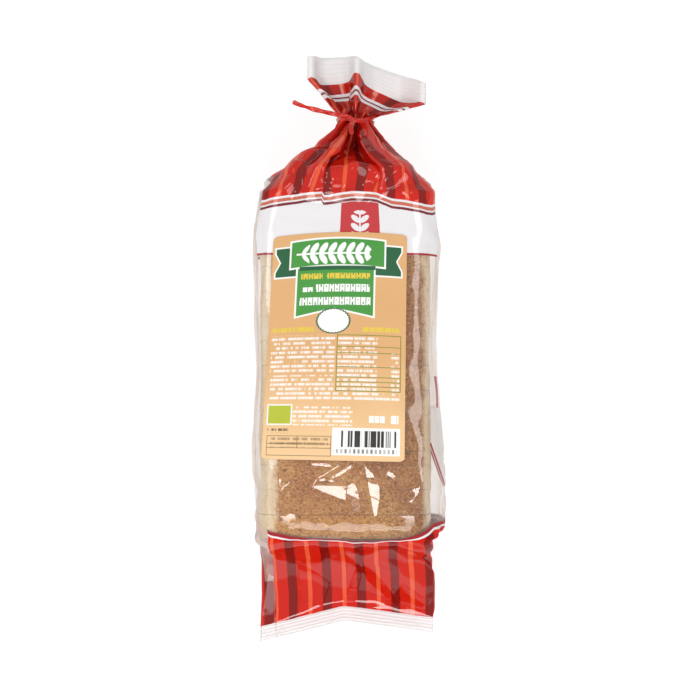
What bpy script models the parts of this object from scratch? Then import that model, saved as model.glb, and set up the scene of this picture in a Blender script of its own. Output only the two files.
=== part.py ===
"""A soft loaf in a printed, gusseted film bag that is tied at the neck, lying on its back panel.

Metres, +Z up. The origin is the middle of the loaf's underside, +Y runs towards the tied head of the
bag, and the labelled panel faces +Z. The bag with its loaf is one solid, and the label and the tie
are separate pieces that touch it.
"""

import math
from collections import namedtuple

import bmesh
import bpy
from mathutils import Vector
from mathutils.bvhtree import BVHTree

# Driving dimensions of the filled body
LOAF_LENGTH = 0.195
BODY_WIDTH = 0.106
BODY_HEIGHT = 0.088
BODY_CORNER = 0.015
SIDE_BULGE = 0.004

# The flat crimped seal across the foot of the bag, bent to a shallow V
FOOT_REACH = 0.0425
FOOT_SEAL_DEPTH = 0.0085
FOOT_SEAL_HEIGHT = 0.020
FOOT_APEX_X = -0.0015
FOOT_SLOPES = (0.25, 0.13)

# The gathered neck and the flared head above the tie
NECK_Y = 0.136
NECK_X = 0.006
NECK_Z = 0.046
NECK_RADIUS = 0.008
NECK_HALF_LENGTH = 0.003
HEAD_LEFT = -0.023
HEAD_RIGHT = 0.0455
HEAD_SEAL_Y = 0.162
HEAD_SEAL_DEPTH = 0.013
HEAD_SEAL_HEIGHT = 0.0395
HEAD_BEND_X = 0.003
HEAD_SLOPE = 0.34
SEAL_THICKNESS = 0.0012

# Relief: side gussets tucked in at the foot, folds drawn in to the neck, and pleats of the head
GUSSET_DEPTH = 0.032
FRONT_INSET = 0.0075
SHOULDER_VALLEYS = (8, 57, 121, 176, 238, 302)
VALLEY_WIDTH = 16
SHOULDER_FOLD = 0.36
NECK_FLUTES = 9
NECK_FLUTE_DEPTH = 0.07
HEAD_RIDGES = (-0.90, -0.15, 0.88)
HEAD_RIDGE_WIDTH = 0.17
HEAD_PLEAT = 0.0125

# Points round each section: a quarter of its sides, its corner and its top
SIDE_STEPS, CORNER_STEPS, TOP_STEPS = 3, 4, 6

# The label stuck on the upper panel
LABEL_WIDTH = 0.078
LABEL_LENGTH = 0.126
LABEL_CENTRE = (-0.0085, 0.0085)
LABEL_TURN = math.radians(-1.5)
LABEL_THICKNESS = 0.0003
LABEL_CORNER = 0.003
LABEL_COLUMNS, LABEL_ROWS = 32, 14

# The twisted tie: one turn round the neck, a long tail and a short end
TIE_RADIUS = 0.0011
TIE_PITCH = 0.0029
TIE_START = 118
TIE_STEPS = 28
TIE_TAIL_TIP = (-0.031, 0.1485, 0.060)
TIE_SHORT_END = (0.0045, 0.1285, 0.0655)
TOUCH_GAP = 0.0004

Station = namedtuple("Station", "along left right low high corner")


def stations():
    """The named cross-sections, foot to head, that the whole bag is drawn through."""
    half = LOAF_LENGTH / 2
    wide = BODY_WIDTH / 2
    foot = -half - FOOT_REACH
    foot_low = FOOT_SEAL_HEIGHT - SEAL_THICKNESS / 2
    foot_high = foot_low + SEAL_THICKNESS
    head_low = HEAD_SEAL_HEIGHT - SEAL_THICKNESS / 2
    head_high = head_low + SEAL_THICKNESS
    neck_box = (NECK_X - NECK_RADIUS, NECK_X + NECK_RADIUS, NECK_Z - NECK_RADIUS, NECK_Z + NECK_RADIUS)
    return [
        Station(foot - FOOT_SEAL_DEPTH, -0.048, 0.050, foot_low, foot_high, 0.0005),
        Station(foot, -0.0505, 0.0515, foot_low, foot_high, 0.0005),
        Station(foot + 0.005, -0.0505, 0.0525, foot_low - 0.0012, foot_high + 0.0030, 0.0015),
        Station(foot + 0.0124, -0.0505, 0.0535, 0.0165, 0.031, 0.002),
        Station(foot + 0.024, -0.051, 0.0545, 0.010, 0.054, 0.003),
        Station(foot + 0.0345, -0.052, 0.0555, 0.003, 0.077, 0.007),
        Station(-half + 0.004, -0.0515, 0.0555, 0, BODY_HEIGHT - 0.001, BODY_CORNER),
        Station(-half * 0.65, -wide - 0.0005, wide + SIDE_BULGE, 0, BODY_HEIGHT, BODY_CORNER),
        Station(0, -wide + 0.002, wide - 0.0015, 0, BODY_HEIGHT, BODY_CORNER),
        Station(half * 0.6, -wide, wide, 0, BODY_HEIGHT, BODY_CORNER),
        Station(half - 0.006, -0.0515, 0.0510, 0, BODY_HEIGHT - 0.001, 0.016),
        Station(half + 0.009, -0.0465, 0.0455, 0.004, 0.086, 0.018),
        Station(half + 0.016, -0.036, 0.0375, 0.010, 0.083, 0.017),
        Station(half + 0.023, -0.025, 0.0295, 0.019, 0.071, 0.015),
        Station(NECK_Y - 0.0065, -0.0105, 0.0195, 0.033, 0.059, 0.012),
        Station(NECK_Y - NECK_HALF_LENGTH, *neck_box, NECK_RADIUS),
        Station(NECK_Y + NECK_HALF_LENGTH, *neck_box, NECK_RADIUS),
        Station(NECK_Y + 0.007, -0.0085, 0.0245, 0.0395, 0.0515, 0.0055),
        Station(NECK_Y + 0.0135, -0.0155, 0.036, 0.0405, 0.048, 0.0035),
        Station(HEAD_SEAL_Y, HEAD_LEFT, HEAD_RIGHT, head_low, head_high, 0.0005),
        Station(HEAD_SEAL_Y + HEAD_SEAL_DEPTH, HEAD_LEFT, HEAD_RIGHT - 0.001, head_low, head_high, 0.0005),
    ]


def monotone_slopes(xs, ys):
    """Slopes of a cubic through the points that never overshoots them."""
    steps = [(ys[i + 1] - ys[i]) / (xs[i + 1] - xs[i]) for i in range(len(xs) - 1)]
    slopes = [steps[0]]
    for before, after in zip(steps, steps[1:]):
        slopes.append(0.0 if before * after <= 0 else 2 * before * after / (before + after))
    return slopes + [steps[-1]]


def interpolate(xs, ys, x):
    slopes = monotone_slopes(xs, ys)
    i = max(0, min(len(xs) - 2, sum(1 for known in xs if known <= x) - 1))
    span = xs[i + 1] - xs[i]
    t = (x - xs[i]) / span
    rise = t * t * (3 - 2 * t)
    leave = span * t * (1 - t) ** 2
    arrive = span * t * t * (t - 1)
    return ys[i] * (1 - rise) + ys[i + 1] * rise + slopes[i] * leave + slopes[i + 1] * arrive


def bump(x, start, peak, end):
    """A smooth rise from start to peak and back to nothing at end."""
    if not start < x < end:
        return 0.0
    t = (x - start) / (peak - start) if x < peak else (end - x) / (end - peak)
    return t * t * (3 - 2 * t)


def unit_section(half_width, half_height, corner):
    """Points of a rounded rectangle, anticlockwise from the middle of its right side."""
    corner = min(corner, half_width, half_height)
    flat_x, flat_z = half_width - corner, half_height - corner
    quarter = [(half_width, flat_z * i / SIDE_STEPS) for i in range(SIDE_STEPS)]
    for i in range(CORNER_STEPS):
        angle = math.pi / 2 * i / CORNER_STEPS
        quarter.append((flat_x + corner * math.cos(angle), flat_z + corner * math.sin(angle)))
    quarter += [(flat_x * (1 - i / TOP_STEPS), half_height) for i in range(TOP_STEPS)]
    upper = quarter + [(0.0, half_height)] + [(-x, z) for x, z in reversed(quarter)]
    return upper + [(x, -z) for x, z in reversed(upper[1:-1])]


def fold_factor(along, angle):
    """How far the shoulder and the neck are drawn in at this angle round the section."""
    drawn = SHOULDER_FOLD * bump(along, LOAF_LENGTH / 2 - 0.004, NECK_Y - 0.014, NECK_Y - NECK_HALF_LENGTH)
    valley = 0.0
    for middle in SHOULDER_VALLEYS:
        away = (math.degrees(angle) - middle + 180) % 360 - 180
        valley = max(valley, math.exp(-((away / VALLEY_WIDTH) ** 2)))
    flutes = NECK_FLUTE_DEPTH * bump(along, NECK_Y - 0.008, NECK_Y, NECK_Y + 0.008)
    return 1 - drawn * valley - flutes * (0.5 + 0.5 * math.cos(NECK_FLUTES * angle))


def head_pleat(along, x):
    """Height of the head's long pleats above its middle sheet."""
    across = 2 * (x - HEAD_LEFT) / (HEAD_RIGHT - HEAD_LEFT) - 1
    ridge = max(math.exp(-(((across - top) / HEAD_RIDGE_WIDTH) ** 2)) for top in HEAD_RIDGES)
    swell = bump(along, NECK_Y + NECK_HALF_LENGTH, HEAD_SEAL_Y - 0.004, HEAD_SEAL_Y + 3 * HEAD_SEAL_DEPTH)
    return HEAD_PLEAT * swell * ridge


def seal_bend(along, x):
    """How far the foot's V and the head's slope carry a point along the bag."""
    half = LOAF_LENGTH / 2
    foot_share = min(1.0, max(0.0, (-half - along) / FOOT_REACH))
    slope = FOOT_SLOPES[0] if x < FOOT_APEX_X else FOOT_SLOPES[1]
    foot = -foot_share * slope * abs(x - FOOT_APEX_X)
    head_share = min(1.0, max(0.0, (along - NECK_Y - NECK_HALF_LENGTH) / (HEAD_SEAL_Y - NECK_Y)))
    return foot - head_share * HEAD_SLOPE * max(0.0, x - HEAD_BEND_X)


def bag_section(along):
    """The closed ring of points of the bag at one place along it."""
    rows = stations()
    places = [row.along for row in rows]
    left, right, low, high, corner = (
        interpolate(places, [getattr(row, side) for row in rows], along)
        for side in ("left", "right", "low", "high", "corner")
    )
    middle_x, middle_z = (left + right) / 2, (low + high) / 2
    half_width, half_height = (right - left) / 2, (high - low) / 2
    half = LOAF_LENGTH / 2
    tuck = GUSSET_DEPTH * bump(along, -half - FOOT_REACH, -half - FOOT_REACH * 0.55, -half + 0.004)
    inset = FRONT_INSET * min(1.0, max(0.0, (-half - along) / FOOT_REACH))
    ring = []
    flat_height = max(half_height - corner, SEAL_THICKNESS / 4)
    for x, z in unit_section(half_width, half_height, corner):
        factor = fold_factor(along, math.atan2(z / half_height, x / half_width))
        inward = tuck * max(0.0, 1 - abs(z) / flat_height) * (abs(x) / half_width) ** 8
        if x < 0 and z > 0:
            inward += inset * (x / half_width) ** 4 * min(1.0, 2 * z / half_height)
        x = middle_x + x * factor - math.copysign(inward, x)
        z = middle_z + z * factor + head_pleat(along, middle_x + x)
        ring.append(Vector((x, along + seal_bend(along, x), z)))
    return ring


def ring_places():
    """Where along the bag its rings lie: close together at the folds, wide apart on the body."""
    half = LOAF_LENGTH / 2
    foot = -half - FOOT_REACH
    spans = (
        (foot - FOOT_SEAL_DEPTH, foot, 2),
        (foot, -half + 0.006, 9),
        (-half + 0.006, half - 0.008, 9),
        (half - 0.008, NECK_Y - NECK_HALF_LENGTH, 10),
        (NECK_Y - NECK_HALF_LENGTH, NECK_Y + NECK_HALF_LENGTH, 2),
        (NECK_Y + NECK_HALF_LENGTH, HEAD_SEAL_Y, 8),
        (HEAD_SEAL_Y, HEAD_SEAL_Y + HEAD_SEAL_DEPTH, 2),
    )
    places = [spans[0][0]]
    for start, end, count in spans:
        places += [start + (end - start) * (i + 1) / count for i in range(count)]
    return places


def new_object(name, bm, collection):
    mesh = bpy.data.meshes.new(name)
    bm.to_mesh(mesh)
    bm.free()
    made = bpy.data.objects.new(name, mesh)
    collection.objects.link(made)
    return made


def make_bag(collection):
    """The filled bag: one loft from the foot seal over the loaf and through the neck to the head seal."""
    bm = bmesh.new()
    rings = [[bm.verts.new(point) for point in bag_section(along)] for along in ring_places()]
    count = len(rings[0])
    for ring, following in zip(rings, rings[1:]):
        for i in range(count):
            j = (i + 1) % count
            bm.faces.new((ring[i], ring[j], following[j], following[i]))
    for ring in (rings[0], rings[-1]):
        bm.faces.new((ring[0], ring[1], ring[-1]))
        for i in range(1, count // 2 - 1):
            bm.faces.new((ring[i], ring[i + 1], ring[count - i - 1], ring[count - i]))
        bm.faces.new((ring[count // 2 - 1], ring[count // 2], ring[count // 2 + 1]))
    bmesh.ops.triangulate(bm, faces=bm.faces[:])
    bmesh.ops.recalc_face_normals(bm, faces=bm.faces[:])
    bag = new_object("bag", bm, collection)
    bag.data.shade_smooth()
    bag.data.set_sharp_from_angle(angle=math.radians(40))
    return bag


def label_steps(half, count):
    """Places across the label: even inside, and close together where its corners turn."""
    inner = half - LABEL_CORNER
    even = [inner * (2 * i / count - 1) for i in range(count + 1)]
    turning = [inner + LABEL_CORNER * math.sin(math.pi / 2 * i / 3) for i in range(1, 4)]
    return [-x for x in reversed(turning)] + even + turning


def drawn_in(place, half, across, across_half):
    """A place on the label, drawn in where the rounded corner shortens its row."""
    into_corner = max(0.0, abs(across) - (across_half - LABEL_CORNER)) / LABEL_CORNER
    if abs(place) < half - LABEL_CORNER:
        return place
    end = half - LABEL_CORNER * (1 - math.sqrt(max(0.0, 1 - into_corner**2)))
    return math.copysign(min(abs(place), end), place)


def make_label(collection, bag):
    """The label: a thin sheet laid on the upper panel, bending with it over the loaf's left edge."""
    bm = bmesh.new()
    surface = BVHTree.FromObject(bag, bpy.context.evaluated_depsgraph_get())
    turn_cos, turn_sin = math.cos(LABEL_TURN), math.sin(LABEL_TURN)
    half_x, half_y = LABEL_WIDTH / 2, LABEL_LENGTH / 2
    rows = []
    for flat_y in label_steps(half_y, LABEL_ROWS):
        row = []
        for flat_x in label_steps(half_x, LABEL_COLUMNS):
            x = drawn_in(flat_x, half_x, flat_y, half_y)
            y = flat_y
            place_x = LABEL_CENTRE[0] + x * turn_cos - y * turn_sin
            place_y = LABEL_CENTRE[1] + x * turn_sin + y * turn_cos
            above = Vector((place_x, place_y, 2 * BODY_HEIGHT))
            point, normal, _, _ = surface.ray_cast(above, Vector((0, 0, -1)))
            row.append(bm.verts.new(point + normal * TOUCH_GAP))
        rows.append(row)
    for row, following in zip(rows, rows[1:]):
        for i in range(len(row) - 1):
            bm.faces.new((row[i], row[i + 1], following[i + 1], following[i]))
    bmesh.ops.remove_doubles(bm, verts=bm.verts[:], dist=0.00002)
    label = new_object("label", bm, collection)
    wall = label.modifiers.new("thickness", "SOLIDIFY")
    wall.thickness = LABEL_THICKNESS
    wall.offset = 1
    return label


def curve_between(start, end, leave, arrive, count):
    """Points of one Hermite curve between two points."""
    points = []
    for i in range(count + 1):
        t = i / count
        rise = t * t * (3 - 2 * t)
        points.append(
            start * (1 - rise) + end * rise + leave * t * (1 - t) ** 2 + arrive * t * t * (t - 1)
        )
    return points


def tie_route():
    """The tie's centre line: in from the tail's tip, once round the neck, and out to the short end."""
    reach = NECK_RADIUS + TOUCH_GAP + TIE_RADIUS
    start = math.radians(TIE_START)
    heading = Vector((-math.sin(start), 0, math.cos(start)))
    loop = []
    for i in range(TIE_STEPS + 1):
        share = i / TIE_STEPS
        angle = start + 2 * math.pi * share
        drop = TIE_PITCH * (0.5 - share)
        across, up = reach * math.cos(angle), reach * math.sin(angle)
        loop.append(Vector((NECK_X + across, NECK_Y + drop, NECK_Z + up)))
    tip, short_end = Vector(TIE_TAIL_TIP), Vector(TIE_SHORT_END)
    tail = curve_between(tip, loop[0], Vector((0.02, -0.004, 0)), heading * 0.018, 12)
    short = curve_between(loop[-1], short_end, Vector((0.006, 0, 0.016)), Vector((0.001, -0.009, 0.002)), 6)
    return tail[:-1] + loop + short[1:]


def make_tie(collection):
    """The tie: a plastic-covered wire, as one tube with closed ends."""
    curve = bpy.data.curves.new("tie", "CURVE")
    curve.dimensions = "3D"
    curve.bevel_depth = TIE_RADIUS
    curve.bevel_resolution = 2
    curve.use_fill_caps = True
    route = tie_route()
    spline = curve.splines.new("POLY")
    spline.points.add(len(route) - 1)
    for point, place in zip(spline.points, route):
        point.co = (*place, 1)
    tie = bpy.data.objects.new("tie", curve)
    collection.objects.link(tie)
    return tie


def paint(made, colour, roughness):
    material = bpy.data.materials.new(made.name + "_finish")
    material.use_nodes = True
    shader = material.node_tree.nodes["Principled BSDF"]
    shader.inputs["Base Color"].default_value = (*colour, 1)
    shader.inputs["Roughness"].default_value = roughness
    shader.inputs["Metallic"].default_value = 0
    made.data.materials.append(material)


def main():
    for old in list(bpy.data.objects):
        bpy.data.objects.remove(old)
    collection = bpy.data.collections.new("loaf_in_bread_bag")
    bpy.context.scene.collection.children.link(collection)
    bag = make_bag(collection)
    bpy.context.view_layer.update()
    label = make_label(collection, bag)
    tie = make_tie(collection)
    paint(bag, (0.60, 0.06, 0.03), 0.25)
    paint(label, (0.78, 0.46, 0.22), 0.5)
    paint(tie, (0.62, 0.05, 0.03), 0.3)


main()
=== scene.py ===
# %% [markdown]
# # A sliced loaf in a tied film bag
#
# The object is a small wholemeal tin loaf in a printed bag of clear film. The bag lies on its back panel,
# is sealed flat at the foot, gathered and tied above the loaf, and carries a large sticker.
# The solid model gives the sizes, so this script loads it first and dresses it: the plain bag solid is
# replaced by real film with the loaf inside, and the label and the tie by detailed pieces.

# %% Load the solids and keep their box
import math

import bpy
import numpy as np
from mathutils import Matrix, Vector
from mathutils.bvhtree import BVHTree
from mathutils.geometry import delaunay_2d_cdt


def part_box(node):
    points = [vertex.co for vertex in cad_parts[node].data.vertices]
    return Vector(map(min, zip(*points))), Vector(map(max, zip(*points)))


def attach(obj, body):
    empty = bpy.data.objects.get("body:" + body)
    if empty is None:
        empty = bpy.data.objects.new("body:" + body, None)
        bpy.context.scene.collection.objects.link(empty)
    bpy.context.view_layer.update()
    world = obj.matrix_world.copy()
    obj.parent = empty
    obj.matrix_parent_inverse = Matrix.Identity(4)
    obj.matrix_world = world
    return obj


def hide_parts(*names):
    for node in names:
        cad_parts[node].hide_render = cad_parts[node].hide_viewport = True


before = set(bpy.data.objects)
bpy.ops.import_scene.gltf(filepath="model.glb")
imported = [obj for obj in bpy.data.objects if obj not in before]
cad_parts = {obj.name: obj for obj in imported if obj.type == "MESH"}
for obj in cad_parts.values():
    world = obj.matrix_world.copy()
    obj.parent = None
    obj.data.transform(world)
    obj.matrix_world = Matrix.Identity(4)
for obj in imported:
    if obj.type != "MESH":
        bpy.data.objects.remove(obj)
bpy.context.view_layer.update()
bag_low, bag_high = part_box("bag")
tie_low, tie_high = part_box("tie")
MM = 0.001
bpy.ops.object.select_all(action="DESELECT")
print("bag solid in mm:", [round(side / MM, 1) for side in bag_high - bag_low])

# %% [markdown]
# ## The camera
#
# The picture is taken from straight above with a long lens, so the sides of the bag barely show.
# The camera's height follows from the width of the view at the middle of the bag.

# %% Place the camera
LENS = 140
SENSOR = 36
VIEW_WIDTH = 0.399
MIDDLE_HEIGHT = 0.045
VIEW_CENTRE = (0.002, 0.008)

camera_data = bpy.data.cameras.new("camera")
camera_data.lens = LENS
camera_data.sensor_width = SENSOR
camera = bpy.data.objects.new("camera", camera_data)
bpy.context.scene.collection.objects.link(camera)
camera.location = (*VIEW_CENTRE, MIDDLE_HEIGHT + VIEW_WIDTH * LENS / SENSOR)
bpy.context.scene.camera = camera
print("camera height in m:", round(camera.location.z, 3))

# %% [markdown]
# ## A small language for materials
#
# Each finish below is worked out from a place on its piece, in millimetres. Wrapping a socket in a class
# lets such sums be written as plain Python, and every node is added by one method.


# %% Sockets that can be reckoned with
class Val:
    """One number of a shader."""

    def __init__(self, finish, socket):
        self.finish = finish
        self.socket = socket

    def __add__(self, other):
        return self.finish.math("ADD", self, other)

    def __radd__(self, other):
        return self.finish.math("ADD", other, self)

    def __sub__(self, other):
        return self.finish.math("SUBTRACT", self, other)

    def __rsub__(self, other):
        return self.finish.math("SUBTRACT", other, self)

    def __mul__(self, other):
        return self.finish.math("MULTIPLY", self, other)

    def __rmul__(self, other):
        return self.finish.math("MULTIPLY", other, self)

    def __truediv__(self, other):
        return self.finish.math("DIVIDE", self, other)

    def __mod__(self, other):
        return self.finish.math("FLOORED_MODULO", self, other)

    def __or__(self, other):
        return self.finish.math("MAXIMUM", self, other)

    def __and__(self, other):
        return self.finish.math("MINIMUM", self, other)

    def __abs__(self):
        return self.finish.math("ABSOLUTE", self)

    def __pow__(self, other):
        return self.finish.math("POWER", self, other)

    def floor(self):
        return self.finish.math("FLOOR", self)

    def above(self, edge, soft):
        """1 where the number is over the edge, 0 where it is under, with a soft step between."""
        return self.finish.math("MULTIPLY_ADD", self, 1 / soft, 0.5 - edge / soft, clamp=True)

    def below(self, edge, soft):
        return self.finish.math("MULTIPLY_ADD", self, -1 / soft, 0.5 + edge / soft, clamp=True)

    def within(self, low, high, soft):
        return abs(self - (low + high) / 2).below((high - low) / 2, soft)


class Finish:
    """A material and the few ways that this script adds nodes to it."""

    def __init__(self, name):
        self.material = bpy.data.materials.new(name)
        self.material.use_nodes = True
        self.tree = self.material.node_tree
        self.shader = self.tree.nodes["Principled BSDF"]
        self.output = self.tree.nodes["Material Output"]

    def node(self, kind, settings, inputs):
        made = self.tree.nodes.new(kind)
        for name, value in settings.items():
            setattr(made, name, value)
        for name, value in inputs.items():
            self.plug(made.inputs[name], value)
        return made

    def plug(self, socket, value):
        if isinstance(value, Val):
            value = value.socket
        if isinstance(value, bpy.types.NodeSocket):
            self.tree.links.new(value, socket)
        else:
            socket.default_value = value

    def math(self, operation, first, second=0.0, third=0.0, clamp=False):
        settings = {"operation": operation, "use_clamp": clamp}
        return Val(self, self.node("ShaderNodeMath", settings, {0: first, 1: second, 2: third}).outputs[0])

    def uv(self, across, along):
        """The piece's own UV map as two lengths."""
        place = self.node("ShaderNodeUVMap", {}, {}).outputs["UV"]
        split = self.node("ShaderNodeSeparateXYZ", {}, {"Vector": place})
        return Val(self, split.outputs["X"]) * across, Val(self, split.outputs["Y"]) * along

    def place(self):
        """Object coordinates, as a vector and as three numbers."""
        vector = self.node("ShaderNodeTexCoord", {}, {}).outputs["Object"]
        split = self.node("ShaderNodeSeparateXYZ", {}, {"Vector": vector})
        return vector, [Val(self, split.outputs[axis]) for axis in "XYZ"]

    def vector(self, x, y, z=0.0):
        return self.node("ShaderNodeCombineXYZ", {}, {"X": x, "Y": y, "Z": z}).outputs["Vector"]

    def plane(self, vector, a, b, c):
        """a x + b y + c z of a vector, in one node."""
        settings, inputs = {"operation": "DOT_PRODUCT"}, {0: vector, 1: (a, b, c)}
        return Val(self, self.node("ShaderNodeVectorMath", settings, inputs).outputs["Value"])

    def noise(self, vector, scale, detail=2.0, roughness=0.5):
        inputs = {"Vector": vector, "Scale": scale, "Detail": detail, "Roughness": roughness}
        return Val(self, self.node("ShaderNodeTexNoise", {}, inputs).outputs[0])

    def chance(self, vector):
        """A number between 0 and 1 that is the same for the same place and unlike its neighbours'."""
        return Val(self, self.node("ShaderNodeTexWhiteNoise", {}, {"Vector": vector}).outputs["Value"])

    def mix(self, share, first, second):
        settings = {"data_type": "RGBA"}
        inputs = {0: share, 6: first, 7: second}
        return self.node("ShaderNodeMix", settings, inputs).outputs[2]

    def bump(self, height, distance, strength=1.0):
        inputs = {"Height": height, "Distance": distance, "Strength": strength}
        return self.node("ShaderNodeBump", {}, inputs).outputs["Normal"]

    def set(self, **inputs):
        for name, value in inputs.items():
            self.plug(self.shader.inputs[name.replace("_", " ")], value)


def ink(code):
    """A colour written as on a swatch card, as the linear numbers that a shader takes."""
    parts = [int(code[i : i + 2], 16) / 255 for i in (0, 2, 4)]
    return (*[p / 12.92 if p < 0.04045 else ((p + 0.055) / 1.055) ** 2.4 for p in parts], 1.0)


# %% [markdown]
# ## The loaf
#
# A tin loaf is a box with soft edges. Its crust is not smooth: it swells and sinks by a millimetre or so,
# and the slices stand a hair apart. The box starts as a cube, is cut by rows of planes so that its
# rows fall on the slices, and each point is then pulled on to the rounded, uneven form.

# %% The loaf's sizes
LOAF_SIZE = (0.0950, 0.195, 0.0855)
LOAF_X, LOAF_Y = -0.0008, -0.0012
LOAF_STRETCH = 1.012
LOAF_CORNER = 0.012
SLICE = 0.0138


def smooth(t):
    t = np.clip(t, 0, 1)
    return t * t * (3 - 2 * t)


def swell(points, size, seed):
    """Slow unevenness: a few waves of about the given size, between -1 and 1."""
    draw = np.random.default_rng(seed)
    total = np.zeros(len(points))
    for _ in range(6):
        way = draw.normal(size=3)
        way *= 2 * math.pi / size / np.linalg.norm(way) * draw.uniform(0.6, 1.6)
        total += np.sin(points @ way + draw.uniform(0, 2 * math.pi))
    return total / 3.5


def points_of(piece):
    flat = np.empty(len(piece.data.vertices) * 3)
    piece.data.vertices.foreach_get("co", flat)
    return flat.reshape(-1, 3)


def move_points(piece, points):
    piece.data.vertices.foreach_set("co", points.astype(np.float32).ravel())
    piece.data.update()


def loaf_form(points, detail):
    """Points of a sharp box, drawn on to the loaf's rounded and uneven form."""
    half = np.array(LOAF_SIZE) / 2
    inner = np.clip(points, -(half - LOAF_CORNER), half - LOAF_CORNER)
    out = points - inner
    reach = np.linalg.norm(out, axis=1, keepdims=True)
    out /= np.maximum(reach, 1e-9)
    rounded = inner + out * LOAF_CORNER
    push = 0.0007 * swell(points, 0.05, 3)
    if detail:
        slice_number = np.floor((points[:, 1] + half[1]) / SLICE)
        push += 0.00035 * np.sin(slice_number * 12.9898 + 1.3)
        push += 0.0004 * swell(points, 0.011, 5) + 0.00022 * swell(points, 0.005, 6)
    side = np.where(points[:, 2] < -half[2] * 0.9, 0.0, 1.0)
    rounded += out * (push * side)[:, None]
    rounded[:, 1] *= LOAF_STRETCH
    rounded += (LOAF_X, LOAF_Y, half[2] + 0.0006)
    return rounded


def cut_box(name, size, spacings):
    """A cube of the given size, cut right through by rows of planes."""
    bpy.ops.mesh.primitive_cube_add(size=1)
    piece = bpy.context.object
    piece.name = piece.data.name = name
    piece.scale = size
    bpy.ops.object.transform_apply(location=False, rotation=False, scale=True)
    bpy.ops.object.mode_set(mode="EDIT")
    for axis, places in enumerate(spacings):
        for place in places:
            bpy.ops.mesh.select_all(action="SELECT")
            at, along = [0, 0, 0], [0, 0, 0]
            at[axis], along[axis] = place, 1
            bpy.ops.mesh.bisect(plane_co=at, plane_no=along)
    bpy.ops.object.mode_set(mode="OBJECT")
    return piece


def even(size, step):
    count = round(size / step)
    return [size * (i / count - 0.5) for i in range(1, count)]


# %% Cut the loaf, and a coarse twin that the film falls on
def make_loaf():
    half = LOAF_SIZE[1] / 2
    slice_count = int(LOAF_SIZE[1] / SLICE)
    shares = (0.04, 0.22, 0.41, 0.59, 0.78, 0.96)
    rows = [-half + SLICE * (i + share) for i in range(slice_count + 1) for share in shares]
    rows = [row for row in rows if row < half - 0.0004]
    loaf = cut_box("loaf", LOAF_SIZE, (even(LOAF_SIZE[0], 0.002), rows, even(LOAF_SIZE[2], 0.0025)))
    move_points(loaf, loaf_form(points_of(loaf), True))
    return loaf


def make_form():
    step = 0.0075
    form = cut_box("form", LOAF_SIZE, [even(size, step) for size in LOAF_SIZE])
    move_points(form, loaf_form(points_of(form), False))
    return form


loaf = make_loaf()
print("loaf faces:", len(loaf.data.polygons))

# %% [markdown]
# ## The film
#
# The bag is made from one sheet of film, folded to a tube with tucked sides, welded flat at both ends.
# The sheet is laid out here as a grid. `u` is the way round it from the middle of the front panel and
# `v` the way along it from the inner edge of the foot weld, both as lengths of film.
# The grid is first put roughly where the film goes, with the tucks and the gather in place, and keeps
# the lengths of the unfolded tube as its rest shape. A short cloth simulation then lets it settle on
# the loaf, and the spare film buckles into the folds that real film makes.

# %% The sheet's sizes
LEFT_FOLD, RIGHT_FOLD = -0.0425, 0.0525
BACK_LEFT, BACK_RIGHT = -0.0510, 0.0440
FRONT = RIGHT_FOLD - LEFT_FOLD
SIDE = 0.093
ROUND = 2 * (FRONT + SIDE)
FOOT_WELD = 0.0085
FOOT_WEDGE = 0.080
SHOULDER = 0.074
HEAD = 0.029
HEAD_WELD = 0.012
V_LOAF = FOOT_WEDGE
V_SHOULDER = V_LOAF + LOAF_SIZE[1]
V_NECK = V_SHOULDER + SHOULDER
V_HEAD_WELD = V_NECK + HEAD
V_END = V_HEAD_WELD + HEAD_WELD
COLUMNS = 128
WELD_GAP = 0.0008
NECK = Vector((0.005, (tie_low.y + tie_high.y) / 2, MIDDLE_HEIGHT))


def spaced(start, end, step):
    count = max(1, round((end - start) / step))
    return [start + (end - start) * i / count for i in range(count)]


ROWS = np.array(
    spaced(-FOOT_WELD, 0, 0.00095)
    + spaced(0, V_LOAF, 0.0030)
    + spaced(V_LOAF, V_LOAF + 0.050, 0.0025)
    + spaced(V_LOAF + 0.050, V_SHOULDER - 0.03, 0.0070)
    + spaced(V_SHOULDER - 0.03, V_SHOULDER, 0.0032)
    + spaced(V_SHOULDER, V_NECK, 0.0026)
    + spaced(V_NECK, V_HEAD_WELD, 0.0022)
    + spaced(V_HEAD_WELD, V_END, 0.0012)
    + [V_END]
)
print("film grid:", COLUMNS, "by", len(ROWS))


# %% Outlines of the bag's cross-sections
def outline_places(outline, share, closed=True):
    """Places at a share of the way along an outline of points."""
    line = np.vstack([outline, outline[:1]]) if closed else outline
    walked = np.concatenate([[0], np.cumsum(np.linalg.norm(np.diff(line, axis=0), axis=1))])
    at = (np.mod(share, 1) if closed else share) * walked[-1]
    return np.stack([np.interp(at, walked, line[:, axis]) for axis in (0, 1)], axis=1)


def rounded_outline(half_x, half_z, corner):
    """A rounded rectangle, from the middle of its top towards +x."""
    turns = np.radians(np.linspace(90, 0, 7))
    right = [(half_x - corner + corner * math.cos(a), half_z - corner + corner * math.sin(a)) for a in turns]
    right += [(x, -z) for x, z in reversed(right)]
    left = [(-x, z) for x, z in reversed(right)]
    return np.array([(0, half_z)] + right + left)


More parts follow.
